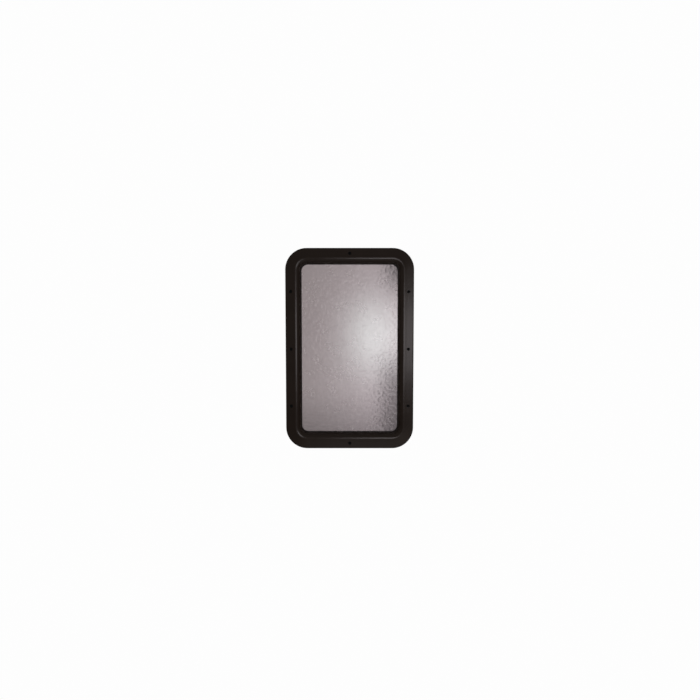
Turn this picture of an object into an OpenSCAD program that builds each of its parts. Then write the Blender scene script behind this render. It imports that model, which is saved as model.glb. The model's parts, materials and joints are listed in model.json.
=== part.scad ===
// Caravan entry-door window. Two moulded rings clamp a door panel between them, and
// the outer one holds a rounded pane of obscure glass. The face that is seen from
// inside the caravan looks along -Y and Z is up. The origin is at the window's centre,
// in the plane where the inner ring's flange meets the door's inside skin.

/* [Overall size] */
// Width over the flanges
frame_w = 324; // [280:1:460]
// Height over the flanges
frame_h = 508; // [430:1:700]
// Radius of the flanges' outer corners
corner_r = 54; // [48:1:80]

/* [Door and cut-out] */
// Thickness of the door panel between the two flanges
door_t = 35; // [30:0.5:45]
// How far the flanges reach over the door, from their edge to the spigot wall
flange_lap = 8.5; // [7:0.5:10]

/* [Moulded section] */
// Wall thickness of both mouldings
wall = 2.5; // [2:0.1:3]
// Height of the inner ring's rim above the door
inner_rim_h = 5.5; // [5:0.1:7]
// Height of the outer frame's rim above its seal
outer_rim_h = 3.5; // [3:0.1:5]
// Rounding of the rim's edge
edge_r = 3; // [2.6:0.1:3]
// Rise of the flange from the rim to the foot of the crest
flange_rise = 1.2; // [0.4:0.1:2]
// Distance from the outer edge to the foot of the crest
foot_d = 17.25; // [16.5:0.25:17.75]
// Hollow rounding at the foot of the crest
foot_r = 8; // [3:0.5:10]
// Distance from the foot of the crest to its top
crest_run = 7.25; // [6.75:0.25:7.5]
// Rise of the crest above its foot
crest_rise = 0.7; // [0.4:0.1:1]
// Rounding of the inner ring's crest, down into the reveal
crest_r = 13.25; // [12:0.25:13.5]
// Rounding of the outer frame's crest
outer_crest_r = 4; // [3:0.25:5]
// How far the reveal's wall leans in, from the crest's rounding to the lip round the glass
reveal_lean = 0.75; // [0.75:0.25:3]
// Depth of the inner reveal, from the door's inside skin to the lip's end
reveal_depth = 18.5; // [15:0.5:20]
// Straight land at the end of the inner reveal
lip_land = 2; // [1:0.5:3]

/* [Glass and seals] */
// Thickness of the pane
glass_t = 3.2; // [3:0.1:5]
// How far the pane reaches behind the lip
glass_lap = 7; // [5:0.5:8]
// Space between the pane's edge and the rebate wall
glass_space = 2; // [1.5:0.25:2.5]
// Ground chamfer round both faces of the pane
glass_chamfer = 0.5; // [0.3:0.1:0.8]
// Thickness of the glazing tape between the pane and the outer ledge
tape_t = 1.6; // [1:0.1:2]
// Width of the glazing tape
tape_w = 6; // [4:0.5:6.5]
// Thickness of the rubber bead between the inner lip and the pane
bead_t = 1.5; // [1:0.1:2]
// How far the bead shows past the lip
bead_show = 0.7; // [0.5:0.1:1.5]
// How much rounder the bead's inner corners are than the lip's
bead_round = 1.7; // [0:0.1:2.5]
// Thickness of the seal under the outer flange
seal_t = 1.5; // [1:0.1:3]
// Width of the seal under the outer flange
seal_w = 6; // [4:0.5:6.5]
// Inset of the seal from the flange's edge
seal_inset = 1; // [0.5:0.1:1.5]
// Length of each rubber setting block under the pane
block_l = 30; // [20:1:50]
// Distance of each setting block from the window's middle
block_x = 65; // [40:1:80]

/* [Screws] */
// Distance between the screws along each upright
screw_pitch = 145; // [100:1:165]
// Radius of the screw's shank
shank_r = 1.95; // [1.7:0.05:2.1]
// Length of the screw under its head
shank_l = 25; // [20:1:28]
// Radius of the screw's head
head_r = 3.7; // [3.4:0.1:4]
// Height of the screw's head
head_h = 2.1; // [2:0.1:2.6]
// Radius of the well that the head sinks into
well_r = 4.4; // [4.2:0.1:4.8]
// Thickness of the well's floor
well_floor = 2.2; // [2:0.1:3]
// Wall of the tube round each well
tube_wall = 1.6; // [1.2:0.1:2]
// Radius of the outer frame's screw bosses
boss_r = 4.6; // [4.2:0.1:5]
// Gap between a boss and the well's floor, taken up by the seal
boss_gap = 1; // [0.5:0.25:2]

/* [Stiffening ribs] */
// Thickness of the ribs
rib_t = 1.8; // [1.2:0.1:2.5]
// Distance between the ribs along a side
rib_pitch = 36; // [30:1:60]
// How far the ribs and tubes stay behind the rim's face
rib_relief = 0.5; // [0.3:0.1:1]
// Depth of the outer frame's ribs behind its flange
rib_depth = 10; // [6:1:14]
// Height of the rebate wall above the pane
rebate_rise = 5; // [3:0.5:6]

/* [Hidden] */
$fn = 64;

plastic = [0.11, 0.095, 0.09];
rubber = [0.05, 0.05, 0.05];
butyl = [0.16, 0.16, 0.16];
glass = [0.62, 0.58, 0.6];
steel = [0.09, 0.09, 0.09];

// Depths along Y, from the door's inside skin outwards
glass_in = reveal_depth + bead_t;
glass_out = glass_in + glass_t;
ledge_y = glass_out + tape_t;
seat_out = door_t + seal_t;
ledge_depth = seat_out - ledge_y;

// Distances from the outer edge, inwards
boss_inset = 0.4;
screw_d = flange_lap + boss_inset + boss_r;
crest_d = foot_d + crest_run;
lip_d = crest_d + crest_r + reveal_lean;
glass_d = lip_d - glass_lap;
rebate_in = glass_d - glass_space;
rebate_out = rebate_in - wall;
tape_inset = 0.5;
ledge_root_r = 1;

// Screws
thread_gap = 0.1;
hole_gap = 0.35;
tip_space = 2;
point_l = 3;
head_side = 0.7;
recess_w = 0.9;
recess_l = 4;
recess_depth = 1.2;
well_seat = rib_relief + well_floor;
tube_r = well_r + tube_wall;
screw_x = frame_w / 2 - screw_d;
screw_z = frame_h / 2 - screw_d;
SCREWS = [
    [0, screw_z], [0, -screw_z],
    [-screw_x, screw_pitch], [-screw_x, 0], [-screw_x, -screw_pitch],
    [screw_x, screw_pitch], [screw_x, 0], [screw_x, -screw_pitch]
];

past = 30;
arc_bite = 0.001;
arc_spare = 0.1;

// Plane geometry for the moulded sections. A path is a list of corner points, and
// its radii round them. A section lies to the right of its path.
function unit(v) = v / norm(v);
function right_of(u) = [u[1], -u[0]];
function turned(v, a) = [v[0] * cos(a) - v[1] * sin(a), v[0] * sin(a) + v[1] * cos(a)];
function meet(p, u, q, v) = p + u * cross(q - p, v) / cross(u, v);
function into(p, i) = unit(p[i] - p[(i + len(p) - 1) % len(p)]);
function out_of(p, i) = unit(p[(i + 1) % len(p)] - p[i]);
function turn_at(p, i) = atan2(cross(into(p, i), out_of(p, i)), into(p, i) * out_of(p, i));

// An open path moved to its right, and the radii that keep its arcs concentric
function moved_right(p, t) = [
    for (i = [0 : len(p) - 1])
        i == 0 ? p[i] + t * right_of(out_of(p, i))
        : i == len(p) - 1 ? p[i] + t * right_of(into(p, i))
        : meet(p[i] + t * right_of(into(p, i)), into(p, i), p[i] + t * right_of(out_of(p, i)), out_of(p, i))
];
function moved_radii(p, radii, t) = [
    for (i = [0 : len(p) - 1]) radii[i] == 0 ? 0 : max(0, radii[i] + sign(turn_at(p, i)) * t)
];

// Start, centre and end of the arc that rounds corner i
function arc_length(p, i, r) = r * tan(abs(turn_at(p, i)) / 2);
function arc_start(p, i, r) = p[i] - arc_length(p, i, r) * into(p, i);
function arc_end(p, i, r) = p[i] + arc_length(p, i, r) * out_of(p, i);
function arc_centre(p, i, r) = arc_start(p, i, r) - sign(turn_at(p, i)) * r * right_of(into(p, i));
// The path with each hollow corner cut along its chord, and each bulging one notched
function notch(p, i, r) = (p[i] + 3 * arc_centre(p, i, r)) / 4;
function notched(p, radii) = [
    for (i = [0 : len(p) - 1])
        each (radii[i] == 0 ? [p[i]]
              : turn_at(p, i) > 0 ? [arc_start(p, i, radii[i]), arc_end(p, i, radii[i])]
              : [arc_start(p, i, radii[i]), notch(p, i, radii[i]), arc_end(p, i, radii[i])])
];

// The piece of a rounding's disc that faces its corner, a little wider than the arc.
// Its radius is larger by arc_bite, so that arc and flats cross instead of touching.
module arc_wedge(p, i, r) {
    centre = arc_centre(p, i, r);
    before = arc_start(p, i, r) - r * arc_spare * into(p, i);
    after = arc_end(p, i, r) + r * arc_spare * out_of(p, i);
    intersection() {
        translate(centre) circle(r + arc_bite);
        polygon([centre, 2 * before - centre, 2 * p[i] - centre, 2 * after - centre]);
    }
}

// A clockwise outline with true arcs at its corners: wedges are added where it bulges
// and taken off where it is hollow
module rounded_shape(p, radii) {
    difference() {
        union() {
            polygon(notched(p, radii));
            for (i = [0 : len(p) - 1])
                if (radii[i] > 0 && turn_at(p, i) < 0) arc_wedge(p, i, radii[i]);
        }
        for (i = [0 : len(p) - 1])
            if (radii[i] > 0 && turn_at(p, i) > 0) arc_wedge(p, i, radii[i]);
    }
}

// Where the crest's two flanks would meet: each is tangent to the crest's rounding
function crest_corner(foot, lip, r) =
    let (
        centre = [crest_d, foot[1] + crest_rise - r],
        up = centre - foot,
        back = centre - lip,
        rise_angle = atan2(up[1], up[0]) + asin(r / norm(up)),
        fall_angle = atan2(back[1], back[0]) - asin(r / norm(back))
    )
    meet(foot, turned([1, 0], rise_angle), lip, turned([1, 0], fall_angle));

// Face of a moulding: from the rim, over the flange and the crest, down to root
function face_path(rim_h, r, root, tail) =
    let (foot = [foot_d, rim_h + flange_rise])
    [[0, 0], [0, rim_h], foot, crest_corner(foot, root, r), root, tail];
function face_radii(r, root_r) = [0, edge_r, foot_r, r, root_r, 0];

inner_root = [lip_d, lip_land - reveal_depth];
inner_tail = [lip_d, -reveal_depth];
inner_face = face_path(inner_rim_h, crest_r, inner_root, inner_tail);
inner_radii = face_radii(crest_r, 0);

outer_root = [rebate_in, wall - ledge_depth];
outer_tail = [lip_d, wall - ledge_depth];
outer_face = face_path(outer_rim_h, outer_crest_r, outer_root, outer_tail);
outer_radii = face_radii(outer_crest_r, ledge_root_r);

// Everything behind a face: its path, moved back and drawn on far past both ends
module behind_face(face, radii, moved) {
    path = moved_right(face, moved);
    last = len(path) - 1;
    rounded_shape(
        [for (i = [0 : last])
            i == 0 ? path[0] - 2 * past * out_of(path, 0)
            : i == last ? path[last] + 2 * past * into(path, last) : path[i]],
        moved_radii(face, radii, moved)
    );
}

// A wall of even thickness behind a face
module skin_section(face, radii) {
    deeper = moved_right(face, 2 * wall);
    closing = [deeper[len(deeper) - 1], [2 * wall, -past], [2 * wall, 0]];
    difference() {
        rounded_shape(concat(face, closing), concat(radii, [0, 0, 0]));
        behind_face(face, radii, wall);
    }
}

// Everything behind the middle of the skin, between two distances and down to a depth
module behind_section(face, radii, from_d, to_d, depth) {
    intersection() {
        behind_face(face, radii, wall / 2);
        translate([from_d, -depth]) square([to_d - from_d, depth + past]);
    }
}

// Rounded rectangle at a distance inside the outer edge
module rounded_outline(d, r) {
    half_w = frame_w / 2 - d;
    half_h = frame_h / 2 - d;
    square([2 * half_w, 2 * (half_h - r)], center = true);
    square([2 * (half_w - r), 2 * half_h], center = true);
    for (sx = [-1, 1]) for (sy = [-1, 1])
        translate([sx * (half_w - r), sy * (half_h - r)]) circle(r);
}

module band_outline(outer_d, inner_d) {
    difference() {
        rounded_outline(outer_d, corner_r - outer_d);
        rounded_outline(inner_d, corner_r - inner_d);
    }
}

// A section of [distance inside the outer edge, height] carried round the window
module carried_round() {
    side_w = frame_w - 2 * corner_r;
    side_h = frame_h - 2 * corner_r;
    for (sx = [-1, 1])
        translate([sx * frame_w / 2, 0, 0]) rotate([0, 0, sx > 0 ? 0 : 180])
            rotate([90, 0, 0]) linear_extrude(side_h, center = true) mirror([1, 0]) children();
    for (sy = [-1, 1])
        translate([0, sy * frame_h / 2, 0]) rotate([0, 0, 90 * sy])
            rotate([90, 0, 0]) linear_extrude(side_w, center = true) mirror([1, 0]) children();
    for (corner = [0 : 3]) {
        sx = corner == 0 || corner == 3 ? 1 : -1;
        sy = corner < 2 ? 1 : -1;
        translate([sx * side_w / 2, sy * side_h / 2, 0]) rotate([0, 0, 90 * corner])
            rotate_extrude(angle = 90) translate([corner_r, 0]) mirror([1, 0]) children();
    }
}

// A thin plate of a section, standing across each side at a pitch and in each corner
module ribs_round() {
    half_w = frame_w / 2 - corner_r;
    half_h = frame_h / 2 - corner_r;
    for (k = [1 : floor(half_h / rib_pitch)])
        if (abs(k * rib_pitch - screw_pitch) > tube_r + rib_t)
            for (sx = [-1, 1]) for (sy = [-1, 1])
                translate([sx * frame_w / 2, sy * k * rib_pitch, 0]) rotate([0, 0, sx > 0 ? 0 : 180])
                    rib() children();
    for (k = [1 : floor(half_w / rib_pitch)])
        for (sx = [-1, 1]) for (sy = [-1, 1])
            translate([sx * k * rib_pitch, sy * frame_h / 2, 0]) rotate([0, 0, 90 * sy]) rib() children();
    for (sx = [-1, 1]) for (sy = [-1, 1])
        translate([sx * half_w, sy * half_h, 0])
            rotate([0, 0, sx > 0 ? 45 * sy : 180 - 45 * sy])
                translate([corner_r, 0, 0]) rib() children();
}

module rib() {
    rotate([90, 0, 0]) linear_extrude(rib_t, center = true) mirror([1, 0]) children();
}

module at_screws() {
    for (p = SCREWS) translate([p[0], p[1], 0]) children();
}

// Heights grow towards the inside of the caravan, from the door's inside skin
module inside_face() {
    rotate([90, 0, 0]) children();
}

// Heights grow towards the outside, from the back of the outer flange
module outside_face() {
    translate([0, seat_out, 0]) rotate([-90, 0, 0]) children();
}

// Flat ring or plate between two depths along Y
module slab(from_y, to_y) {
    translate([0, to_y, 0]) rotate([90, 0, 0]) linear_extrude(to_y - from_y) children();
}

// Inner trim ring: rim, flange, crest and reveal in one wall, with ribs and screw wells
module inner_ring() {
    color(plastic) inside_face() difference() {
        union() {
            carried_round() skin_section(inner_face, inner_radii);
            ribs_round() behind_section(inner_face, inner_radii, wall / 2, lip_d, -rib_relief);
            at_screws() translate([0, 0, rib_relief]) cylinder(h = inner_rim_h - rib_relief, r = tube_r);
        }
        at_screws() translate([0, 0, well_seat]) cylinder(h = past, r = well_r);
        at_screws() translate([0, 0, -past]) cylinder(h = 2 * past, r = shank_r + hole_gap);
    }
}

// Outer frame: solid flange, crest, reveal, glazing ledge, rebate wall, spigot and bosses
module outer_frame() {
    spigot_depth = seat_out + rib_relief - boss_gap;
    boss_top = outer_rim_h - wall / 4;
    color(plastic) outside_face() difference() {
        union() {
            carried_round() {
                skin_section(outer_face, outer_radii);
                behind_section(outer_face, outer_radii, wall / 2, flange_lap + wall, 0);
                behind_section(outer_face, outer_radii, flange_lap, flange_lap + wall, spigot_depth);
                behind_section(outer_face, outer_radii, rebate_out, rebate_in, seat_out - glass_in + rebate_rise);
            }
            ribs_round() behind_section(outer_face, outer_radii,
                                        flange_lap + wall / 2, rebate_in - wall / 2, rib_depth);
            at_screws() translate([0, 0, -spigot_depth]) cylinder(h = spigot_depth + boss_top, r = boss_r);
        }
        at_screws() translate([0, 0, -spigot_depth - past])
            cylinder(h = past + shank_l - well_seat + tip_space, r = shank_r + thread_gap);
    }
}

// Pane of obscure glass with ground edges
module glass_pane() {
    r = corner_r - glass_d;
    half_w = frame_w / 2 - glass_d - r;
    half_h = frame_h / 2 - glass_d - r;
    edge = [
        [0, 0], [r - glass_chamfer, 0], [r, glass_chamfer],
        [r, glass_t - glass_chamfer], [r - glass_chamfer, glass_t], [0, glass_t]
    ];
    color(glass) translate([0, glass_out, 0]) rotate([90, 0, 0]) {
        linear_extrude(glass_t) square([2 * half_w, 2 * half_h], center = true);
        for (sx = [-1, 1]) for (sy = [-1, 1])
            translate([sx * half_w, sy * half_h, 0]) rotate_extrude() polygon(edge);
        for (sx = [-1, 1])
            translate([sx * half_w, 0, 0]) rotate([0, 0, sx > 0 ? 0 : 180]) rotate([90, 0, 0])
                linear_extrude(2 * half_h, center = true) polygon(edge);
        for (sy = [-1, 1])
            translate([0, sy * half_h, 0]) rotate([0, 0, 90 * sy]) rotate([90, 0, 0])
                linear_extrude(2 * half_w, center = true) polygon(edge);
    }
}

// Rubber bead that the inner lip presses on the pane
module glass_bead() {
    color(rubber) slab(reveal_depth, glass_in) difference() {
        rounded_outline(lip_d - wall, corner_r - lip_d + wall);
        rounded_outline(lip_d + bead_show, corner_r - lip_d - bead_show + bead_round);
    }
}

// Glazing tape between the pane and the outer ledge
module glazing_tape() {
    color(butyl) slab(glass_out, ledge_y) band_outline(lip_d - tape_inset - tape_w, lip_d - tape_inset);
}

// Seal between the outer flange and the door's outside skin
module flange_seal() {
    color(butyl) slab(door_t, seat_out) band_outline(seal_inset, seal_inset + seal_w);
}

// Rubber block that the pane's bottom edge stands on
module setting_block(x) {
    color(rubber) translate([x - block_l / 2, glass_in, rebate_in - frame_h / 2])
        cube([block_l, glass_t, glass_space]);
}

module setting_block_left() {
    setting_block(-block_x);
}

module setting_block_right() {
    setting_block(block_x);
}

// Pan-head screw with a cross recess, standing on the floor of its well
module screw(p) {
    dome_rise = head_h - head_side;
    dome_r = (head_r * head_r + dome_rise * dome_rise) / (2 * dome_rise);
    dome_angle = asin(head_r / dome_r);
    dome = [
        for (k = [0 : 4])
            let (a = dome_angle * (1 - k / 4))
            [dome_r * sin(a), well_seat + head_h - dome_r * (1 - cos(a))]
    ];
    tip = well_seat - shank_l;
    color(steel) inside_face() translate([p[0], p[1], 0]) difference() {
        rotate_extrude()
            polygon(concat([[0, tip], [shank_r, tip + point_l], [shank_r, well_seat], [head_r, well_seat]], dome));
        for (a = [0, 90])
            translate([0, 0, well_seat + head_h - recess_depth / 2]) rotate([0, 0, a])
                cube([recess_l, recess_w, recess_depth], center = true);
    }
}

module screw_top() {
    screw(SCREWS[0]);
}

module screw_bottom() {
    screw(SCREWS[1]);
}

module screw_left_upper() {
    screw(SCREWS[2]);
}

module screw_left_middle() {
    screw(SCREWS[3]);
}

module screw_left_lower() {
    screw(SCREWS[4]);
}

module screw_right_upper() {
    screw(SCREWS[5]);
}

module screw_right_middle() {
    screw(SCREWS[6]);
}

module screw_right_lower() {
    screw(SCREWS[7]);
}

inner_ring();
outer_frame();
glass_pane();
glass_bead();
glazing_tape();
flange_seal();
setting_block_left();
setting_block_right();
screw_top();
screw_bottom();
screw_left_upper();
screw_left_middle();
screw_left_lower();
screw_right_upper();
screw_right_middle();
screw_right_lower();
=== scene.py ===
# %% [markdown]
# # Dressing a caravan door window
#
# The window is two moulded plastic rings, clamped on the door's panel by screws, with
# a rounded pane of obscure glass between them. The rings, the pane, the seals and the
# screws come from the construction model at their real size. This lesson gives them
# their surfaces: a pebbled pane, soft seals, real screws, and the finishes.
#
# The first lines load the model. Its width runs along X and its height along Z, and
# the face that is seen from inside the caravan looks towards -Y.

# %% Load the construction model
import json
import math

import bpy
import numpy as np
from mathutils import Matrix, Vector


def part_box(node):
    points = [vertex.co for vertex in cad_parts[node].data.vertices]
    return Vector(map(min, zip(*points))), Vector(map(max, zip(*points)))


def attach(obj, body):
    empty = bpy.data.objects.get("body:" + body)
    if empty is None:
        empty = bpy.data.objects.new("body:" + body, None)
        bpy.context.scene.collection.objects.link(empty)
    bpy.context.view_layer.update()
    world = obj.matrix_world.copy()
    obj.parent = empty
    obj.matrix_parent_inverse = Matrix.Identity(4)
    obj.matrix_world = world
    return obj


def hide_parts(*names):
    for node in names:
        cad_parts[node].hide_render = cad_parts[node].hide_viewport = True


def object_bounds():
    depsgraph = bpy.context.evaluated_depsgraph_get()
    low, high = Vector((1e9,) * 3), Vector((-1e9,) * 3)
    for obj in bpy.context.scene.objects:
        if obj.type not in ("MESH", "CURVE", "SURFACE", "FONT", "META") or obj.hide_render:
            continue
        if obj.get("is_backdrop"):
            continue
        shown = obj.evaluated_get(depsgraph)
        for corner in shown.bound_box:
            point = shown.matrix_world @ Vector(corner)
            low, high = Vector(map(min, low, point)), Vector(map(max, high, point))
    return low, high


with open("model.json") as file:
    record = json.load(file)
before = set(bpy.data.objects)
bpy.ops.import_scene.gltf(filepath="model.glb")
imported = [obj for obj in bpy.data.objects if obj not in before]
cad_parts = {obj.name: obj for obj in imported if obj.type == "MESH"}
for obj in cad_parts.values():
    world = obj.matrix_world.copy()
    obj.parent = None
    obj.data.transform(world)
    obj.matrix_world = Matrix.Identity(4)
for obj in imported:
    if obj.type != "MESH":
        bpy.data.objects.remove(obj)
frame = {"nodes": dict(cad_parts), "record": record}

cad_low, cad_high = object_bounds()
nodes = frame["nodes"]
print("Loaded", len(nodes), "pieces, the whole window is", [round(s, 4) for s in cad_high - cad_low], "m")

# %% [markdown]
# ## Sizes
#
# A size that the model's boxes can tell is read from them, so it can't drift from the
# construction. Corner radii can't be read from a box, so they are given as numbers, in
# metres. MM lets small sizes be written as they would be on a drawing.

# %% Read the sizes of the window
MM = 0.001
frame_low, frame_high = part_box("inner_ring")
pane_low, pane_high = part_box("glass_pane")
bead_low, bead_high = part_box("glass_bead")
tape_low, tape_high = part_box("glazing_tape")
seal_low, seal_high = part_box("flange_seal")

flange_corner = 54 * MM
flange_half = np.array([frame_high.x, frame_high.z])
window_middle = (cad_low.y + cad_high.y) / 2
print("Flange", 2 * flange_half / MM, "mm, pane", round((pane_high.y - pane_low.y) / MM, 2), "mm thick")

# %% [markdown]
# ## The camera
#
# The window is seen straight on and very slightly from above, so its top edge looks a
# trace wider than its bottom edge. The lens follows from the scale of the view: at the
# camera's distance the frame takes in a square 1.777 m wide, of which the window
# fills less than a third. The target sits a little off the window's centre, because
# the window isn't quite in the middle of the picture.

# %% Place the camera
camera_distance = 1.3615
camera_elevation = math.radians(3.3)
view_width = 1.777
sensor = 36.0
target = Vector((0.9 * MM, 0, -2.4 * MM))

camera_data = bpy.data.cameras.new("camera")
camera_data.sensor_width = sensor
camera_data.lens = sensor * camera_distance / view_width
camera_data.dof.use_dof = False
camera = bpy.data.objects.new("camera", camera_data)
bpy.context.scene.collection.objects.link(camera)
away = Vector((0, -math.cos(camera_elevation), math.sin(camera_elevation)))
camera.location = target + camera_distance * away
camera.rotation_euler = (-away).to_track_quat("-Z", "Y").to_euler()
bpy.context.scene.camera = camera
print("Camera at", [round(v, 3) for v in camera.location])
print("Its lens is", round(camera_data.lens, 1), "mm")

# %% [markdown]
# ## Helpers for shader nodes
#
# A material is a graph of nodes, and a few short helpers keep the graphs readable. They
# add a node and connect or set its inputs, do sums, stretch a value to a new range,
# draw a noise pattern, blend two colours, bend a normal, and open a material or a node
# group with named sockets.

# %% Node helpers
def add(tree, kind, inputs=(), **settings):
    """Add a node. Each input is a pair of its name or number and a socket or a plain value."""
    node = tree.nodes.new(kind)
    for name, value in settings.items():
        setattr(node, name, value)
    for key, value in inputs:
        if isinstance(value, bpy.types.NodeSocket):
            tree.links.new(value, node.inputs[key])
        else:
            node.inputs[key].default_value = value
    return node


def maths(tree, operation, a, b=0.0, clamp=False):
    """A Math node of the given operation, and its output."""
    return add(tree, "ShaderNodeMath", [(0, a), (1, b)], operation=operation, use_clamp=clamp).outputs[0]


def remap(tree, value, start, end, low=0.0, high=1.0, smooth=False):
    """A value that goes from low, up to the start, to high, from the end, straight or smoothly."""
    limits = [("From Min", start), ("From Max", end), ("To Min", low), ("To Max", high)]
    kind = "SMOOTHSTEP" if smooth else "LINEAR"
    return add(tree, "ShaderNodeMapRange", [("Value", value), *limits], interpolation_type=kind).outputs[0]


def noise(tree, place, scale, detail=2.0, roughness=0.5):
    """A noise pattern of a scale, with its number of finer layers and how strong they are."""
    inputs = [("Vector", place), ("Scale", scale), ("Detail", detail), ("Roughness", roughness)]
    return add(tree, "ShaderNodeTexNoise", inputs).outputs[0]


def bump(tree, height, strength, distance, below=None):
    """The normal that a height bends, on top of the normal below where there is one."""
    inputs = [("Height", height), ("Strength", strength), ("Distance", distance)]
    if below is not None:
        inputs.append(("Normal", below))
    return add(tree, "ShaderNodeBump", inputs).outputs[0]


def blend_colours(tree, share, first, second):
    """The first colour where the share is 0 and the second where it is 1."""
    mix = add(tree, "ShaderNodeMix", data_type="RGBA")
    sockets = {"Factor": share, "A": first, "B": second}
    for socket in mix.inputs:
        if not socket.enabled:
            continue
        value = sockets[socket.name]
        if isinstance(value, bpy.types.NodeSocket):
            tree.links.new(value, socket)
        else:
            socket.default_value = value
    return next(s for s in mix.outputs if s.enabled)


def new_material(name, colour, roughness):
    """A material with its Principled shader, set to one colour and roughness to start from."""
    material = bpy.data.materials.new(name)
    material.use_nodes = True
    tree = material.node_tree
    shader = tree.nodes["Principled BSDF"]
    shader.inputs["Base Color"].default_value = (*colour, 1)
    shader.inputs["Roughness"].default_value = roughness
    material.diffuse_color = (*colour, 1)
    return material, tree, shader


def new_group(name, inputs, outputs):
    """A shader node group: inputs are (name, socket type, value), outputs (name, socket type)."""
    group = bpy.data.node_groups.new(name, "ShaderNodeTree")
    for label, kind, value in inputs:
        socket = group.interface.new_socket(name=label, in_out="INPUT", socket_type=kind)
        if value is not None:
            socket.default_value = value
    for label, kind in outputs:
        group.interface.new_socket(name=label, in_out="OUTPUT", socket_type=kind)
    return group, group.nodes.new("NodeGroupInput").outputs, group.nodes.new("NodeGroupOutput").inputs


def use_group(tree, group, inputs):
    """Place a node group in a material and give its inputs, and return its outputs."""
    node = tree.nodes.new("ShaderNodeGroup")
    node.node_tree = group
    for key, value in inputs:
        if isinstance(value, bpy.types.NodeSocket):
            tree.links.new(value, node.inputs[key])
        else:
            node.inputs[key].default_value = value
    return node.outputs


print("Node helpers are ready")

# %% [markdown]
# ## Floor and background
#
# The window is shown on plain white. A big pale floor well below it could come out
# grey, so its material adds light of its own, but only for the camera's rays: what the
# window reflects still falls off in a natural way. The world does the same, white for
# the camera and dim for everything else, because black plastic has to stay black.

# %% Make the floor and the world
floor_z = -0.85
floor_half = 6.0
white = (0.985, 0.985, 0.985, 1)

floor_mesh = bpy.data.meshes.new("floor")
floor_corners = floor_half * np.array([(-1, -1), (1, -1), (1, 1), (-1, 1)])
floor_points = np.column_stack([floor_corners, np.full(4, floor_z)])
floor_mesh.from_pydata(floor_points, [], [(0, 1, 2, 3)])
floor = bpy.data.objects.new("floor", floor_mesh)
bpy.context.scene.collection.objects.link(floor)
floor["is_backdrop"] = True

floor_material, tree, shader = new_material("pale_floor", (0.6, 0.6, 0.6), 0.9)
glow = add(tree, "ShaderNodeEmission", [("Color", white), ("Strength", 1.0)])
path = add(tree, "ShaderNodeLightPath").outputs["Is Camera Ray"]
choice = add(tree, "ShaderNodeMixShader", [(0, path), (1, shader.outputs[0]), (2, glow.outputs[0])])
tree.links.new(choice.outputs[0], tree.nodes["Material Output"].inputs["Surface"])
floor_mesh.materials.append(floor_material)

room_light = 0.22

world = bpy.data.worlds.new("studio")
world.use_nodes = True
tree = world.node_tree
path = add(tree, "ShaderNodeLightPath").outputs["Is Camera Ray"]
around = add(tree, "ShaderNodeBackground", [("Color", (1.0, 0.985, 0.975, 1)), ("Strength", room_light)])
seen = add(tree, "ShaderNodeBackground", [("Color", white), ("Strength", 1.0)])
choice = add(tree, "ShaderNodeMixShader", [(0, path), (1, around.outputs[0]), (2, seen.outputs[0])])
tree.links.new(choice.outputs[0], tree.nodes["World Output"].inputs["Surface"])
bpy.context.scene.world = world
bpy.context.scene.view_settings.view_transform = "Standard"
print("Floor at", floor_z, "m, room light", room_light)

# %% [markdown]
# ## Lights
#
# Shiny black plastic shows the lamps and little else, so a lamp's place can be read
# from its reflections. The right flange is grey over a stretch above and below the
# middle and the left one is black, so two broad soft lamps stand side by side to the
# right of the camera, and their edges follow from where the grey begins and ends. A
# weak one below them lifts the bottom flange, and one on each side, a little behind
# the window, shows its edges. No lamp is seen itself, not even through the glass.

# %% Place the lamps
def softbox(name, centre, towards, width, height, watts, colour):
    """A rectangular lamp at a place, facing a point."""
    data = bpy.data.lights.new(name, "AREA")
    data.shape = "RECTANGLE"
    data.size = width
    data.size_y = height
    data.energy = watts
    data.color = colour
    lamp = bpy.data.objects.new(name, data)
    bpy.context.scene.collection.objects.link(lamp)
    lamp.location = centre
    lamp.rotation_euler = (Vector(towards) - Vector(centre)).to_track_quat("-Z", "Y").to_euler()
    lamp.visible_camera = False
    lamp.visible_transmission = False
    return lamp


lamps = [
    softbox("key_lamp", (0.17, -1.35, -0.02), (0.17, 0, -0.02), 0.30, 0.46, 2.25, (1.0, 0.94, 0.96)),
    softbox("key_side", (0.51, -1.35, -0.02), (0.51, 0, -0.02), 0.38, 0.39, 1.78, (1.0, 0.93, 0.95)),
    softbox("low_fill", (0.25, -1.3, -0.70), (0.2, 0, -0.25), 0.9, 0.35, 0.5, (1.0, 0.95, 0.95)),
    softbox("side_left", (-1.5, 0.5, 0.2), (0, 0, 0), 0.8, 1.2, 6.0, (1.0, 0.99, 0.98)),
    softbox("side_right", (1.5, 0.5, 0.2), (0, 0, 0), 0.8, 1.2, 6.0, (1.0, 0.99, 0.98)),
]
print("Lamps:", [lamp.name for lamp in lamps])

# %% [markdown]
# ## The glow behind the glass
#
# The pane shows no picture, only how bright it is behind, and in the photograph that
# changes smoothly: brightest to the right of the middle, darker to the left, and
# darkest along the bottom and in the corners on the right. A panel of light close
# behind the pane gives just that. Its brightness is an even light plus two broad
# bells, and smooth ramps hold part of it back towards the bottom and the corners.
# The glass tints what it lets through a little pink. The first bell is a little green,
# so that the middle of the glow comes out neutral.

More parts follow.
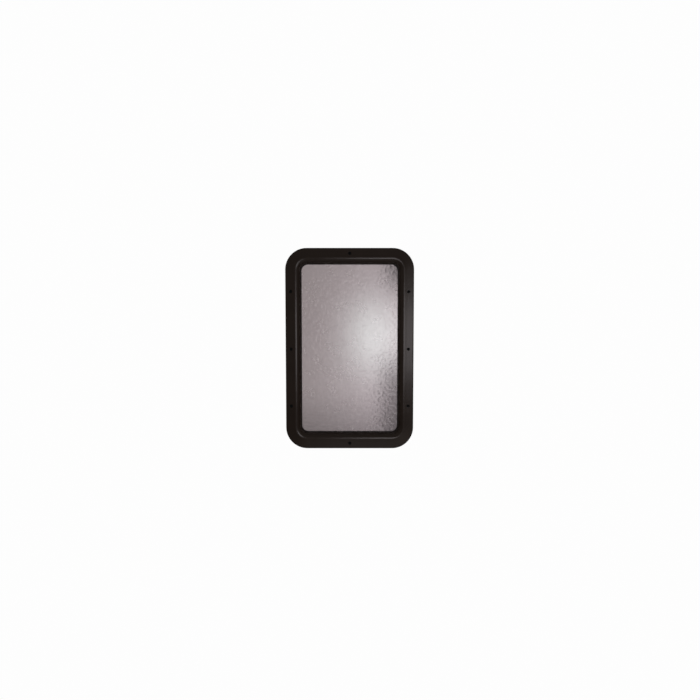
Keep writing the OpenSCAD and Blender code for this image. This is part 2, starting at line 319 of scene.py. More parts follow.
# %% Formulas of the glow
def bell(tree, place, centre, reach):
    """
    1 at the centre and about a third one reach away. With a and b the distances in x
    and in z, each divided by its reach, it is e to the power of -(a squared + b squared).
    """
    across = maths(tree, "DIVIDE", maths(tree, "SUBTRACT", place["X"], centre[0]), reach[0])
    upwards = maths(tree, "DIVIDE", maths(tree, "SUBTRACT", place["Z"], centre[1]), reach[1])
    squares = [maths(tree, "MULTIPLY", part, part) for part in (across, upwards)]
    return maths(tree, "EXPONENT", maths(tree, "MULTIPLY", maths(tree, "ADD", *squares), -1.0))


def hold_back(tree, amount, share):
    """What is left of the light when an amount of it is held back in the given share."""
    return maths(tree, "SUBTRACT", 1.0, maths(tree, "MULTIPLY", share, amount))


even_light = (0.374, 0.365, 0.356)
bells = [
    {"centre": (0.078, 0.019), "reach": (0.084, 0.110), "colour": (0.420, 0.558, 0.526)},
    {"centre": (0.200, -0.150), "reach": (0.244, 0.519), "colour": (0.330, 0.323, 0.352)},
]
dark_corners = [
    {"amount": 0.68, "x": (0.063, 0.139), "z": (0.011, -0.133)},
    {"amount": 0.90, "x": (0.082, 0.158), "z": (0.111, 0.242)},
]
dark_bottom = {"amount": 0.48, "z": (-0.119, -0.319)}
print("The glow has", len(bells), "bells and", len(dark_corners), "dark corners")

# %% Hang the glow panel
panel_depth = 0.30
panel_corners = [(-0.3, -0.4), (0.3, -0.4), (0.3, 0.4), (-0.3, 0.4)]
panel_mesh = bpy.data.meshes.new("glow_panel")
panel_mesh.from_pydata(np.insert(np.array(panel_corners), 1, panel_depth, axis=1), [], [(0, 1, 2, 3)])
panel = bpy.data.objects.new("glow_panel", panel_mesh)
bpy.context.scene.collection.objects.link(panel)
panel.visible_camera = False
panel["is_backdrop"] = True

panel_material, tree, shader = new_material("glow_panel", (0.0, 0.0, 0.0), 1.0)
shader.inputs["Specular IOR Level"].default_value = 0.0
in_metres = add(tree, "ShaderNodeTexCoord").outputs["Object"]
place = add(tree, "ShaderNodeSeparateXYZ", [(0, in_metres)]).outputs
light = even_light
for one in bells:
    share = bell(tree, place, one["centre"], one["reach"])
    light = add(tree, "ShaderNodeVectorMath", [(0, share), (1, one["colour"]), (2, light)],
                operation="MULTIPLY_ADD").outputs[0]
left = hold_back(tree, dark_bottom["amount"], remap(tree, place["Z"], *dark_bottom["z"], smooth=True))
for corner in dark_corners:
    sideways = remap(tree, place["X"], *corner["x"], smooth=True)
    share = maths(tree, "MULTIPLY", sideways, remap(tree, place["Z"], *corner["z"], smooth=True))
    left = maths(tree, "MULTIPLY", left, hold_back(tree, corner["amount"], share))
light = add(tree, "ShaderNodeVectorMath", [(0, light), (1, left)], operation="MULTIPLY").outputs[0]
tree.links.new(light, shader.inputs["Emission Color"])
shader.inputs["Emission Strength"].default_value = 1.0
panel_mesh.materials.append(panel_material)
print("Glow panel", panel_depth, "m behind the door's inside skin, with", len(tree.nodes), "nodes")

# %% [markdown]
# ## From arrays to a mesh
#
# Every new surface below is worked out as numpy arrays: points in metres, and the
# numbers of the points round each face. Blender takes whole arrays through
# foreach_set, which is far quicker than adding points one by one. A cap is one flat
# face with many corners, such as the back of the pane.

# %% Put arrays into a mesh
def mesh_piece(name, points, quads, caps=()):
    """An object from an array of points, an array of four-cornered faces and a list of caps."""
    corners = np.concatenate([quads.ravel(), *caps]).astype(np.int32)
    sizes = np.array([4] * len(quads) + [len(cap) for cap in caps])
    starts = np.concatenate([[0], np.cumsum(sizes)[:-1]]).astype(np.int32)
    mesh = bpy.data.meshes.new(name)
    mesh.vertices.add(len(points))
    mesh.vertices.foreach_set("co", points.astype(np.float32).ravel())
    mesh.loops.add(len(corners))
    mesh.loops.foreach_set("vertex_index", corners)
    mesh.polygons.add(len(sizes))
    mesh.polygons.foreach_set("loop_start", starts)
    mesh.polygons.foreach_set("use_smooth", np.arange(len(sizes)) < len(quads))
    mesh.update(calc_edges=True)
    mesh.validate()
    piece = bpy.data.objects.new(name, mesh)
    bpy.context.scene.collection.objects.link(piece)
    return piece


def grid_quads(rows, columns, wrap_rows=False, wrap_columns=False):
    """The faces of a grid of points. Wrapping joins the last row or column to the first."""
    index = np.arange(rows * columns).reshape(rows, columns)
    if wrap_rows:
        index = np.vstack([index, index[:1]])
    if wrap_columns:
        index = np.column_stack([index, index[:, :1]])
    return np.stack([index[:-1, :-1], index[1:, :-1], index[1:, 1:], index[:-1, 1:]], -1).reshape(-1, 4)


def show_piece(piece, slot, *replaced):
    """Fasten a finished piece to the window's body, in the place of the plain solids it stands for."""
    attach(piece, "root")
    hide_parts(*replaced)
    print(piece.name, "has", len(piece.data.polygons), "faces")
    return piece


# %% [markdown]
# ## A path round the window
#
# The flange, the seals and the bead all follow a rectangle with round corners. At each
# step of the path two things are enough: the centre of the corner's arc, and the
# direction outwards from it. Along a side the direction stands still and the centre
# moves. Round a corner the centre stands still and the direction turns. A point at any
# distance from that centre line then needs no further thought.

# %% Walk round a rounded rectangle
def rounded_path(half, corner, step):
    """
    Centres, outward directions and running length of a path round a rectangle.
    A point on the path is centre plus corner radius times direction. Sides have steps
    of about the given length, and corners have steps of 3 degrees.
    """
    arm = np.array(half) - corner
    corners = np.array([(1, 1), (-1, 1), (-1, -1), (1, -1)]) * arm
    centres = []
    directions = []
    for quarter in range(4):
        here = corners[quarter]
        there = corners[(quarter + 1) % 4]
        turn = np.radians(90 * quarter + np.arange(0, 90, 3.0))
        count = int(np.ceil(np.linalg.norm(there - here) / step))
        share = np.arange(count)[:, None] / count
        side_turn = np.full(count, np.radians(90 * quarter + 90))
        centres += [np.repeat(here[None], len(turn), 0), here + share * (there - here)]
        directions += [turn, side_turn]
    centres = np.concatenate(centres)
    turns = np.concatenate(directions)
    directions = np.column_stack([np.cos(turns), np.sin(turns)])
    points = centres + corner * directions
    lengths = np.linalg.norm(np.diff(points, axis=0, append=points[:1]), axis=1)
    return centres, directions, np.concatenate([[0], np.cumsum(lengths)[:-1]])


def wander(run, length, waves, seed):
    """
    A smooth wavering between -1 and 1 that closes on itself after the given length. It
    is a sum of cosines, each with a whole number of waves, a size and a phase of its own.
    """
    draw = np.random.default_rng(seed)
    phases = draw.uniform(0, 2 * np.pi, len(waves))
    sizes = draw.uniform(0.5, 1.0, len(waves))
    terms = sizes[:, None] * np.cos(2 * np.pi * np.array(waves)[:, None] * run / length + phases[:, None])
    return terms.sum(0) / sizes.sum()


print("A path round the flange has", len(rounded_path(flange_half, flange_corner, 3 * MM)[2]), "steps")

# %% [markdown]
# ## The obscure pane
#
# Obscure glass is rolled while it is soft against a roller with a pattern, which
# leaves one face pebbled and the other smooth. A bump map would give the sparkle but
# not the shape, so here the pebbles are real hills. A point is drawn at random in
# every square of a coarse net. The glass is high where drawn points are near and low
# where none is, and points that lie close together share one hill. That is a cellular
# pattern, and whole arrays can search the nine squares round every place at once.
#
# The hilltops lie in the plane of the construction model's pane, and the valleys are
# rolled into it, so the pane keeps its thickness and its seat.

# %% Work out the pebbles
pebble_cell = 6.0 * MM
pebble_depth = 0.90 * MM
pebble_seed = 11


def pebbles(x, z, cell, seed):
    """
    Height between 0 and 1 of rolled pebbles. Each near point gives a bell, e to the
    power of minus the sharpness times d squared, with d its distance in cells. The
    height is the sum of the bells, each times a lift of its own, divided by the root
    of the softness plus the sum of their squares. It is cut off at the highest value
    and divided by it.
    """
    sharpness = 7
    softness = 0.05
    highest = 1.2
    draw = np.random.default_rng(seed)
    size = 512
    jitter = draw.uniform(0.12, 0.88, (size, size, 2))
    lift = draw.uniform(0.7, 1.0, (size, size))
    column = np.floor(x / cell).astype(int)
    row = np.floor(z / cell).astype(int)
    total = np.zeros_like(x)
    squares = np.zeros_like(x)
    for dx in (-1, 0, 1):
        for dz in (-1, 0, 1):
            i = (column + dx) % size
            k = (row + dz) % size
            away_x = x / cell - (column + dx + jitter[i, k, 0])
            away_z = z / cell - (row + dz + jitter[i, k, 1])
            near = np.exp(-sharpness * (away_x**2 + away_z**2))
            total += lift[i, k] * near
            squares += near**2
    return np.clip(total / np.sqrt(squares + softness), 0, highest) / highest


sample_line = np.linspace(0, 50 * MM, 60)
sample = pebbles(*np.meshgrid(sample_line, sample_line), pebble_cell, pebble_seed)
print("Pebbles run from", round(float(sample.min()), 2), "to", round(float(sample.max()), 2))

# %% [markdown]
# ## A grid that fills a rounded rectangle
#
# A pattern of even pebbles needs an even grid, but the pane has round corners. Its
# rows lie at chosen heights, and each row is stretched to the pane's own width at that
# height. The rows crowd together only in the corners, which the ring hides. Under the
# ring's lip the pebbles fade out, so that the ground edge starts from flat glass.

# %% Lay the pane's face
pane_chamfer = 0.5 * MM
pane_half = np.array([pane_high.x, pane_high.z])
pane_corner = flange_corner - (flange_half[0] - pane_half[0])
pane_step = 1.15 * MM
flat_border = 3 * MM
fade_width = 4 * MM
pattern_shift = (0.3, 0.5)

face_corner = pane_corner - pane_chamfer
face_half = pane_half - pane_chamfer
face_arm = face_half - face_corner
bead_width = 3.2 * MM
sight_half = np.array([bead_high.x, bead_high.z]) - bead_width


def spread(inner, outer, step, margin):
    """Even steps across the inner stretch, and a few wide ones out to both ends."""
    middle = np.linspace(-inner, inner, 2 * int(np.ceil(inner / step)) + 1)
    ends = np.linspace(inner, outer, margin + 1)[1:]
    return np.concatenate([-ends[::-1], middle, ends])


corner_rise = face_arm[1] + face_corner * np.sin(np.radians(np.arange(3, 91, 3)))
straight_rows = np.linspace(-face_arm[1], face_arm[1], 2 * int(np.ceil(face_arm[1] / pane_step)) + 1)
row_z = np.concatenate([-corner_rise[::-1], straight_rows, corner_rise])
rise = np.clip(np.abs(row_z) - face_arm[1], 0, face_corner)
row_half = face_arm[0] + np.sqrt(face_corner**2 - rise**2)
column_share = spread(sight_half[0], face_half[0], pane_step, 3) / face_half[0]

x = column_share[None, :] * row_half[:, None]
z = np.repeat(row_z[:, None], len(column_share), 1)
hills = pebbles(x + pattern_shift[0], z + pattern_shift[1], pebble_cell, pebble_seed)
edge_fade = np.clip((pane_half[0] - flat_border - np.abs(x)) / fade_width, 0, 1)
edge_fade *= np.clip((pane_half[1] - flat_border - np.abs(z)) / fade_width, 0, 1)
y = pane_low.y + pebble_depth * (1 - hills) * edge_fade
face_points = np.stack([x, y, z], -1).reshape(-1, 3)

rows, columns = x.shape
print("The pane's face has", rows, "rows of", columns, "points")

# %% [markdown]
# ## The pane's edge and back
#
# The pane's edge is ground: a chamfer, the edge and a second chamfer are three bands of
# faces that run round the border of the grid, and the smooth back is one flat cap. The
# border is one closed ring of points. Each point knows the centre of the corner's arc
# that it lies on, so the same ring can be drawn again at another radius and depth: at
# both ends of the edge, and round the back.

# %% Close the pane
index = np.arange(rows * columns).reshape(rows, columns)
border = np.concatenate([index[0, :-1], index[:-1, -1], index[-1, :0:-1], index[:0:-1, 0]])
border_xz = face_points[border][:, [0, 2]]
border_centre = np.clip(border_xz, -face_arm, face_arm)
outwards = (border_xz - border_centre) / face_corner


def pane_ring(radius, depth):
    """The pane's border at a corner radius and at a depth along Y."""
    ring = border_centre + radius * outwards
    return np.column_stack([ring[:, 0], np.full(len(ring), depth), ring[:, 1]])


rings = [
    pane_ring(pane_corner, pane_low.y + pane_chamfer),
    pane_ring(pane_corner, pane_high.y - pane_chamfer),
    pane_ring(face_corner, pane_high.y),
]
pane_points = np.concatenate([face_points, *rings])
ring_index = [border] + [len(face_points) + len(border) * k + np.arange(len(border)) for k in range(3)]
bands = [
    np.stack([a, b, np.roll(b, -1), np.roll(a, -1)], -1)
    for a, b in zip(ring_index[:-1], ring_index[1:])
]
front_faces = grid_quads(rows, columns)[:, ::-1]
pane_faces = np.concatenate([front_faces, *bands])
pane = mesh_piece("obscure_pane", pane_points, pane_faces, [ring_index[-1][::-1]])
show_piece(pane, "obscure_glass", "glass_pane")

# %% [markdown]
# ## Seals carried round the window
#
# A bead, a tape and a seal are long strips with one cross-section, bent round the
# window. In Blender a curve with a bevel could make them, but a curve can't waver as
# squeezed rubber does. So the cross-section is an array of points, each with a
# distance out from the corner centres and a depth, and both may change along the path.
# The section is a squared-off ellipse: its points follow the cosine and the sine of an
# angle, each raised to a small power, which gives flat faces and round edges.

# %% Carry a soft section along a path
def soft_section(count, power):
    """
    Points of a squared-off ellipse, each coordinate between -1 and 1: the cosine and
    the sine of an angle, each raised to the power with its sign kept.
    """
    angle = 2 * np.pi * (np.arange(count) + 0.5) / count
    across = np.sign(np.cos(angle)) * np.abs(np.cos(angle)) ** power
    deep = np.sign(np.sin(angle)) * np.abs(np.sin(angle)) ** power
    return across, deep


def carried_strip(name, half, corner, inner, outer, low_y, high_y, squeeze, seed):
    """
    A closed strip round a rounded rectangle. It lies between two distances inside the
    rectangle and two depths, and its sides waver inwards by up to twice the squeeze.
    """
    step = 2.5 * MM
    centres, directions, run = rounded_path(half, corner, step)
    across, deep = soft_section(20, 0.45)
    length = run[-1] + step
    side = wander(run, length, [5, 13, 31, 67, 122], seed)
    other = wander(run, length, [4, 11, 37, 71, 109], seed + 1)
    middle = corner - (inner + outer) / 2
    width = (outer - inner) / 2
    give = np.where(across[None, :] > 0, side[:, None], other[:, None]) * squeeze
    reach = middle + across[None, :] * (width - squeeze + give)
    plane = centres[:, None, :] + reach[..., None] * directions[:, None, :]
    depth = (low_y + high_y) / 2 + deep[None, :] * (high_y - low_y) / 2
    depth = np.repeat(depth, len(run), 0)
    points = np.stack([plane[..., 0], depth, plane[..., 1]], -1)
    faces = grid_quads(*depth.shape, wrap_rows=True, wrap_columns=True)[:, ::-1]
    return mesh_piece(name, points.reshape(-1, 3), faces)


bead_edge_corner = 16.5 * MM
bead = carried_strip("rubber_bead", sight_half + bead_width, bead_edge_corner + bead_width,
                     0, bead_width, bead_low.y, bead_high.y, squeeze=0.06 * MM, seed=21)
show_piece(bead, "bead_rubber", "glass_bead")

tape_inset = flange_half[0] - tape_high.x
tape_width = 6 * MM
tape = carried_strip("butyl_tape", flange_half, flange_corner, tape_inset, tape_inset + tape_width,
                     tape_low.y, tape_high.y, squeeze=0.25 * MM, seed=31)
show_piece(tape, "sealing_tape", "glazing_tape")

seal_inset = flange_half[0] - seal_high.x
seal_width = 6 * MM
seal = carried_strip("flange_gasket", flange_half, flange_corner, seal_inset, seal_inset + seal_width,
                     seal_low.y, seal_high.y, squeeze=0.2 * MM, seed=41)
show_piece(seal, "sealing_tape", "flange_seal")

# %% [markdown]
# ## Setting blocks
#
# Glass never stands on plastic: two rubber blocks under its bottom edge carry it. Each
# is a rounded brick. The same squared-off curve works in two directions at once, as a
# superellipsoid: one angle goes round the block and the other from end to end.

# %% Make the setting blocks
def soft_block(name, low, high, power):
    """
    A superellipsoid that fills a box. Its place along is the sine of the end angle. Its
    places across are the cosine of the end angle times the cosine and the sine of the
    round angle. Each sine and cosine is raised to the power with its sign kept.
    """
    sides = 32
    round_angle = 2 * np.pi * np.arange(sides) / sides
    end_angle = np.linspace(-np.pi / 2, np.pi / 2, 25)[1:-1]
    reach = np.cos(end_angle) ** power
    along = np.sign(np.sin(end_angle)) * np.abs(np.sin(end_angle)) ** power
    around_y = np.sign(np.cos(round_angle)) * np.abs(np.cos(round_angle)) ** power
    around_z = np.sign(np.sin(round_angle)) * np.abs(np.sin(round_angle)) ** power
    unit = np.stack([
        np.repeat(along[:, None], sides, 1),
        reach[:, None] * around_y[None, :],
        reach[:, None] * around_z[None, :],
    ], -1).reshape(-1, 3)
    centre = (np.array(low) + np.array(high)) / 2
    points = centre + unit * (np.array(high) - np.array(low)) / 2
    rings = len(end_angle)
    start = np.arange(sides)[::-1]
    end = (rings - 1) * sides + np.arange(sides)
    return mesh_piece(name, points, grid_quads(rings, sides, wrap_columns=True)[:, ::-1], [start, end])


blocks = []
for side in ("left", "right"):
    node = "setting_block_" + side
    block = soft_block("rubber_block_" + side, *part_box(node), power=0.22)
    blocks.append(show_piece(block, "bead_rubber", node))

# %% [markdown]
# ## Screws
#
# A turned part is a profile swept round an axis, but this screw has two features that
# a plain sweep can't give: the cross recess in its head and the thread. Both are
# changes of the same surface, a function of two parameters. One runs round the axis
# and the other runs along the profile, from the middle of the head, over its edge,
# under it and down the shank. The recess sinks points of the head, and the thread
# moves points of the shank in and out along a helix: the tooth follows the place along
# the axis, counted in pitches, plus the angle, counted in turns.

# %% Work out one screw
head_radius = 3.7 * MM
head_height = 2.1 * MM
head_side = 0.7 * MM
recess_reach = 2.05 * MM
recess_half = 0.46 * MM
recess_depth = 1.25 * MM
root_radius = 1.45 * MM
crest_radius = 2.0 * MM
thread_pitch = 1.4 * MM
point_length = 4.5 * MM
screw_sides = 72
shank_rings = 118


def smooth_step(value):
    """0 below 0, 1 above 1, and between them the value squared times 3 less twice the value."""
    value = np.clip(value, 0, 1)
    return value * value * (3 - 2 * value)


def cross_recess(a, b):
    """
    Depth of the recess at a place on the head. Each of its two arms is a band with
    sloping walls, times a share that falls evenly along the arm, and the larger of the
    two counts.
    """
    slope = 0.16 * MM
    walls_a = smooth_step((recess_half - np.abs(b)) / slope + 0.5)
    walls_b = smooth_step((recess_half - np.abs(a)) / slope + 0.5)
    arm_a = walls_a * np.clip(1.25 - np.abs(a) / recess_reach, 0, 1)
    arm_b = walls_b * np.clip(1.25 - np.abs(b) / recess_reach, 0, 1)
    ends = smooth_step((recess_reach - np.hypot(a, b)) / slope)
    return recess_depth * np.maximum(arm_a, arm_b) * ends


def screw_surface(length, turn):
    """
    Points of a screw on an axis, with heights above the seat of its head. The profile
    is a list of radii and heights, repeated at even angles round the axis. The thread
    adds a tooth to the shank's radius, by the fraction of height over pitch plus turns.
    """
    angle = 2 * np.pi * np.arange(screw_sides) / screw_sides
    top_radius = np.concatenate([np.linspace(0.04, 2.3, 34), np.linspace(2.4, 3.45, 7)]) * MM
    dome_rise = head_height - head_side
    dome_radius = (head_radius**2 + dome_rise**2) / (2 * dome_rise)
    top_height = head_height - dome_radius + np.sqrt(dome_radius**2 - top_radius**2)
    edge_turn = np.radians([60, 30, 0])
    edge_radius = head_radius - 0.25 * MM * (1 - np.cos(edge_turn))
    edge_height = head_side + 0.2 * MM * np.sin(edge_turn)
    under_radius = np.array([head_radius, head_radius - 0.1 * MM, root_radius + 0.4 * MM, root_radius])
    under_height = np.array([0.1 * MM, 0, 0, -0.3 * MM])
    shank_radius = np.full(shank_rings, root_radius)
    shank_height = np.linspace(-0.45 * MM, -length, shank_rings)
    radius = np.concatenate([top_radius, edge_radius, under_radius, shank_radius])
    height = np.concatenate([top_height, edge_height, under_height, shank_height])
    ring = np.repeat(radius[:, None], screw_sides, 1)
    level = np.repeat(height[:, None], screw_sides, 1)

    head = len(top_radius)
    a = ring[:head] * np.cos(angle + turn)
    b = ring[:head] * np.sin(angle + turn)
    level[:head] -= cross_recess(a, b)

    shank = len(radius) - shank_rings
    phase = (level[shank:] / thread_pitch + angle / (2 * np.pi)) % 1
    tooth = smooth_step(1 - np.abs(2 * phase - 1) * 1.9)
    run_in = smooth_step((-level[shank:] - 0.6 * MM) / (1.5 * MM))
    taper = np.clip((length + level[shank:]) / point_length, 0.06, 1)
    ring[shank:] = (root_radius + (crest_radius - root_radius) * tooth * run_in) * taper
    return ring, level, angle


sample_ring, sample_level, sample_angle = screw_surface(25 * MM, 0)
sample_length = float(np.ptp(sample_level))
print("A screw has", sample_ring.size, "points and is", round(sample_length / MM, 1), "mm long")

# %% [markdown]
# ## Driving the screws in
#
# Each screw stands where the construction model has it, and its own box tells its
# place and length. No one lines up cross recesses when fitting a window, so every
# screw is turned to an angle drawn from a seeded generator, the same on every run.

# %% Place the eight screws
screw_names = sorted(name for name in nodes if name.startswith("screw_"))
screw_turns = np.random.default_rng(5).uniform(0, np.pi / 2, len(screw_names))
screws = []
for name, turn in zip(screw_names, screw_turns):
    low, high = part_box(name)
    seat = low.y + head_height
    ring, level, angle = screw_surface(high.y - seat, turn)
    points = np.stack([
        (low.x + high.x) / 2 + ring * np.cos(angle),
        seat - level,
        (low.z + high.z) / 2 + ring * np.sin(angle),
    ], -1).reshape(-1, 3)
    rows, columns = ring.shape
    middle = np.arange(columns)
    tip = (rows - 1) * columns + np.arange(columns)[::-1]
    screw = mesh_piece("cross_" + name, points, grid_quads(rows, columns, wrap_columns=True), [middle, tip])
    screws.append(show_piece(screw, "screw_steel", name))

# %% [markdown]
# ## Effects that several finishes share
#
# A moulded ring, a rubber bead and a painted screw look different, but grain, slow
# changes of tone, rubbed places and dust are the same ideas on each. Each idea is a
# node group with named inputs, built once and placed with its own numbers in each
# material that needs it. All of them read Object coordinates, so a pattern has its
# real size in metres and doesn't stretch over long pieces.

# %% Build the grain and the slow tone
VECTOR = "NodeSocketVector"
FLOAT = "NodeSocketFloat"

grain_group, given, result = new_group(
    "surface_grain",
    [("Place", VECTOR, None), ("Cells per metre", FLOAT, 900.0), ("Coarseness", FLOAT, 0.5)],
    [("Height", FLOAT)],
)
size = given["Cells per metre"]
fine = noise(grain_group, given["Place"], size, 3.0, 0.6)
cells = add(grain_group, "ShaderNodeTexVoronoi", [("Vector", given["Place"]), ("Scale", size)],
            feature="SMOOTH_F1").outputs["Distance"]
share = maths(grain_group, "MULTIPLY", cells, given["Coarseness"])
grain_group.links.new(maths(grain_group, "ADD", fine, share), result["Height"])

tone_group, given, result = new_group(
    "slow_tone",
    [("Place", VECTOR, None), ("Cells per metre", FLOAT, 12.0), ("Contrast", FLOAT, 1.0)],
    [("Tone", FLOAT)],
)
broad = noise(tone_group, given["Place"], given["Cells per metre"], 4.0, 0.55)
centred = maths(tone_group, "SUBTRACT", broad, 0.5)
scaled = maths(tone_group, "MULTIPLY", centred, given["Contrast"])
tone_group.links.new(maths(tone_group, "ADD", scaled, 0.5, clamp=True), result["Tone"])


def grain_of(tree, place, per_metre, coarseness):
    """The grain's height, with its number of cells in a metre and how coarse it is."""
    given = [("Place", place), ("Cells per metre", per_metre), ("Coarseness", coarseness)]
    return use_group(tree, grain_group, given)["Height"]


def tone_of(tree, place, per_metre, contrast):
    """The slow tone between 0 and 1, with its number of patches in a metre and its contrast."""
    given = [("Place", place), ("Cells per metre", per_metre), ("Contrast", contrast)]
    return use_group(tree, tone_group, given)["Tone"]


print("Groups:", [group.name for group in bpy.data.node_groups])

# %% [markdown]
# ## Rubbed places and dust
#
# Hands and cloths rub a window in streaks, and only here and there. So the mask is a
# long thin noise, cut off to leave its peaks, inside the patches of a broad noise.
# Dust needs a surface that looks upwards. The normal's Z tells that, and a fine noise
# breaks the dust up into specks.

# %% Build the rubbed places and the dust
rub_group, given, result = new_group(
    "rubbed_places",
    [("Place", VECTOR, None), ("Stretch", VECTOR, (60.0, 60.0, 900.0)), ("Amount", FLOAT, 0.4)],
    [("Mask", FLOAT)],
)
stretched = add(rub_group, "ShaderNodeVectorMath", [(0, given["Place"]), (1, given["Stretch"])],
                operation="MULTIPLY").outputs[0]
lines = remap(rub_group, noise(rub_group, stretched, 1.0, 5.0, 0.7), 0.56, 0.70)
patch = remap(rub_group, noise(rub_group, given["Place"], 22.0), 0.45, 0.70)
mask = maths(rub_group, "MULTIPLY", lines, patch)
rub_group.links.new(maths(rub_group, "MULTIPLY", mask, given["Amount"], clamp=True), result["Mask"])

dust_group, given, result = new_group(
    "settled_dust",
    [("Place", VECTOR, None), ("Amount", FLOAT, 0.3)],
    [("Mask", FLOAT)],
)
normal = add(dust_group, "ShaderNodeNewGeometry").outputs["Normal"]
upwards = add(dust_group, "ShaderNodeSeparateXYZ", [(0, normal)]).outputs["Z"]
level = remap(dust_group, upwards, 0.15, 0.9)
specks = remap(dust_group, noise(dust_group, given["Place"], 420.0, 6.0, 0.75), 0.42, 0.66)
mask = maths(dust_group, "MULTIPLY", level, specks)
dust_group.links.new(maths(dust_group, "MULTIPLY", mask, given["Amount"], clamp=True), result["Mask"])


def dust_of(tree, place, amount):
    """Where dust lies, between 0 and the given amount."""
    return use_group(tree, dust_group, [("Place", place), ("Amount", amount)])["Mask"]


print("Groups:", [group.name for group in bpy.data.node_groups])

# %% [markdown]
# ## Black moulded plastic
#
# The rings are injection moulded in a brown-black plastic, satin rather than glossy.
# Three scales make it believable: a grain too fine to see as dots that only softens
# the shine, slow waves where the wall cooled unevenly, which bend a long reflection,
# and rubbed places that shine a little more. Two bump nodes in a row add the grain to
# the waves, and the dust only lies where a surface looks upwards. The reveal's steep
# wall is matt, so that it doesn't mirror the glass. Its depth tells where it is: the
# matt finish begins 5 mm below the crest's top and is full 4 mm further in.

# %% Make the plastic
def place_of(tree):
    """The Object coordinates, in metres."""
    return add(tree, "ShaderNodeTexCoord").outputs["Object"]


plastic, tree, shader = new_material("black_moulded_plastic", (0.015, 0.0095, 0.0075), 0.25)
shader.inputs["Specular IOR Level"].default_value = 0.25
place = place_of(tree)
tone = tone_of(tree, place, 14.0, 1.6)
rubbed = use_group(tree, rub_group, [("Place", place), ("Amount", 0.7)])["Mask"]
dust = dust_of(tree, place, 0.10)
colour = blend_colours(tree, tone, (0.0170, 0.0104, 0.0068, 1), (0.0250, 0.0158, 0.0110, 1))
colour = blend_colours(tree, dust, colour, (0.16, 0.15, 0.14, 1))
tree.links.new(colour, shader.inputs["Base Color"])

matt_from = (cad_high.y - cad_low.y) / 2 - 5 * MM
matt_full = matt_from - 4 * MM
depth = add(tree, "ShaderNodeSeparateXYZ", [(0, place)]).outputs["Y"]
off_middle = maths(tree, "ABSOLUTE", maths(tree, "SUBTRACT", depth, window_middle))
inside_reveal = remap(tree, off_middle, matt_from, matt_full)
roughness = remap(tree, tone, 0.0, 1.0, 0.20, 0.25)
roughness = maths(tree, "SUBTRACT", roughness, maths(tree, "MULTIPLY", rubbed, 0.08))
roughness = maths(tree, "ADD", roughness, maths(tree, "MULTIPLY", dust, 0.5))
roughness = maths(tree, "ADD", roughness, maths(tree, "MULTIPLY", inside_reveal, 0.60), clamp=True)
tree.links.new(roughness, shader.inputs["Roughness"])

waves = bump(tree, noise(tree, place, 26.0, 1.0), 1.0, 0.25 * MM)
grained = bump(tree, grain_of(tree, place, 1500.0, 0.6), 0.35, 0.06 * MM, waves)
tree.links.new(grained, shader.inputs["Normal"])
print(plastic.name, "has", len(tree.nodes), "nodes")

# %% [markdown]
# ## Obscure glass
#
# The pane is faintly grey and rolled rough, so it passes light but no picture. The
# shader is fully transmissive, its colour is the tint that light takes up on the way
# in and out, and its roughness spreads what comes through. The pebbles are already in
# the mesh. The bump adds the fine ripples on each pebble, which catch the lamp as
# small sparks.

# %% Make the glass
glass, tree, shader = new_material("pebbled_grey_glass", (0.62, 0.575, 0.59), 0.28)
shader.inputs["Transmission Weight"].default_value = 1.0
shader.inputs["IOR"].default_value = 1.5
place = place_of(tree)
tone = tone_of(tree, place, 9.0, 1.2)
colour = blend_colours(tree, tone, (0.655, 0.57, 0.585, 1), (0.695, 0.615, 0.63, 1))
tree.links.new(colour, shader.inputs["Base Color"])
smear = tone_of(tree, place, 30.0, 1.5)
tree.links.new(remap(tree, smear, 0.0, 1.0, 0.22, 0.30), shader.inputs["Roughness"])
rippled = bump(tree, grain_of(tree, place, 620.0, 0.9), 0.5, 0.12 * MM)
tree.links.new(rippled, shader.inputs["Normal"])
print(glass.name, "has", len(tree.nodes), "nodes")

# %% [markdown]
# ## Rubber and butyl
#
# The bead and the setting blocks are firm black rubber: almost no shine, a fine
# matt grain and a trace of bloom, the grey haze that old rubber sweats out. The tapes
# are butyl, which is softer and stickier, so it is a little shinier and its surface
# is drawn into small folds.

# %% Make the rubber and the butyl
rubber, tree, shader = new_material("bead_rubber", (0.012, 0.012, 0.012), 0.7)
shader.inputs["Specular IOR Level"].default_value = 0.35
place = place_of(tree)
bloom = tone_of(tree, place, 60.0, 2.2)
dust = dust_of(tree, place, 0.2)
colour = blend_colours(tree, bloom, (0.008, 0.008, 0.008, 1), (0.020, 0.020, 0.021, 1))
colour = blend_colours(tree, dust, colour, (0.15, 0.145, 0.14, 1))
tree.links.new(colour, shader.inputs["Base Color"])
tree.links.new(remap(tree, bloom, 0.0, 1.0, 0.60, 0.82), shader.inputs["Roughness"])
grained = bump(tree, grain_of(tree, place, 1800.0, 0.4), 0.5, 0.05 * MM)
tree.links.new(grained, shader.inputs["Normal"])

butyl, tree, shader = new_material("sealing_butyl", (0.03, 0.03, 0.03), 0.5)
place = place_of(tree)
tone = tone_of(tree, place, 45.0, 1.8)
colour = blend_colours(tree, tone, (0.020, 0.020, 0.021, 1), (0.042, 0.041, 0.040, 1))
tree.links.new(colour, shader.inputs["Base Color"])
tree.links.new(remap(tree, tone, 0.0, 1.0, 0.42, 0.62), shader.inputs["Roughness"])
folded = bump(tree, grain_of(tree, place, 320.0, 0.8), 0.6, 0.2 * MM)
tree.links.new(folded, shader.inputs["Normal"])
print(rubber.name, "and", butyl.name, "are ready")

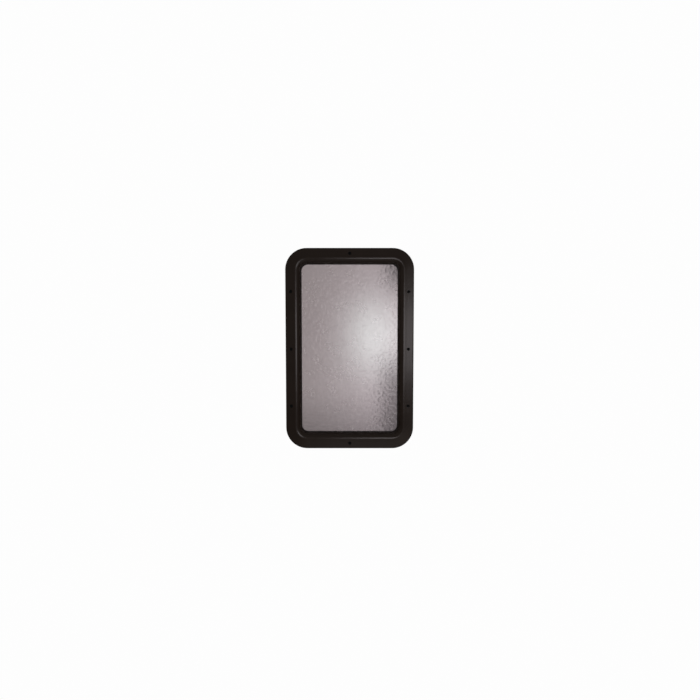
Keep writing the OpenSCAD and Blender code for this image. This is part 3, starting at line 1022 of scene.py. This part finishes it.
# %% [markdown]
# ## Black screws
#
# The screws are steel with a thin black coat. A driver has turned each of them once,
# so the coat is worn thin in places and a little steel shows. One mask drives both
# the colour and the metal share, which keeps bare steel bare and paint paint.

# %% Make the screw steel
steel, tree, shader = new_material("black_coated_steel", (0.006, 0.006, 0.006), 0.6)
shader.inputs["Specular IOR Level"].default_value = 0.12
place = place_of(tree)
given = [("Place", place), ("Stretch", (900.0, 700.0, 800.0)), ("Amount", 0.3)]
bare = use_group(tree, rub_group, given)["Mask"]
tone = tone_of(tree, place, 400.0, 2.0)
coat = blend_colours(tree, tone, (0.003, 0.003, 0.003, 1), (0.008, 0.008, 0.008, 1))
colour = blend_colours(tree, bare, coat, (0.32, 0.31, 0.30, 1))
tree.links.new(colour, shader.inputs["Base Color"])
tree.links.new(bare, shader.inputs["Metallic"])
tree.links.new(remap(tree, tone, 0.0, 1.0, 0.52, 0.70), shader.inputs["Roughness"])
grained = bump(tree, grain_of(tree, place, 3500.0, 0.5), 0.4, 0.03 * MM)
tree.links.new(grained, shader.inputs["Normal"])
print(steel.name, "has", len(tree.nodes), "nodes")

# %% [markdown]
# ## Giving out the finishes
#
# New pieces have no material yet, so theirs is appended to the mesh. The construction
# model's own pieces already have a material slot, and only what the slot holds is
# changed: their meshes stay as they are.

# %% Assign the materials
finishes = {
    "black_plastic": plastic,
    "obscure_glass": glass,
    "bead_rubber": rubber,
    "sealing_tape": butyl,
    "screw_steel": steel,
}
for part in frame["record"]["subparts"]:
    node = nodes[part["node"]]
    for holder in node.material_slots:
        holder.material = finishes[part["material_slot"]]

for piece, finish in [(pane, glass), (bead, rubber), (tape, butyl), (seal, butyl)]:
    piece.data.materials.append(finish)
for block in blocks:
    block.data.materials.append(rubber)
for screw in screws:
    screw.data.materials.append(steel)
print("Finishes:", sorted(finishes))

# %% [markdown]
#
# The dressed window's box is measured again at the end and printed, as the first one was
# at the start. The dressed window may not outgrow the construction model.

# %% Measure the dressed size
low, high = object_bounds()
print("Dressed size", [round(s, 4) for s in high - low], "m")
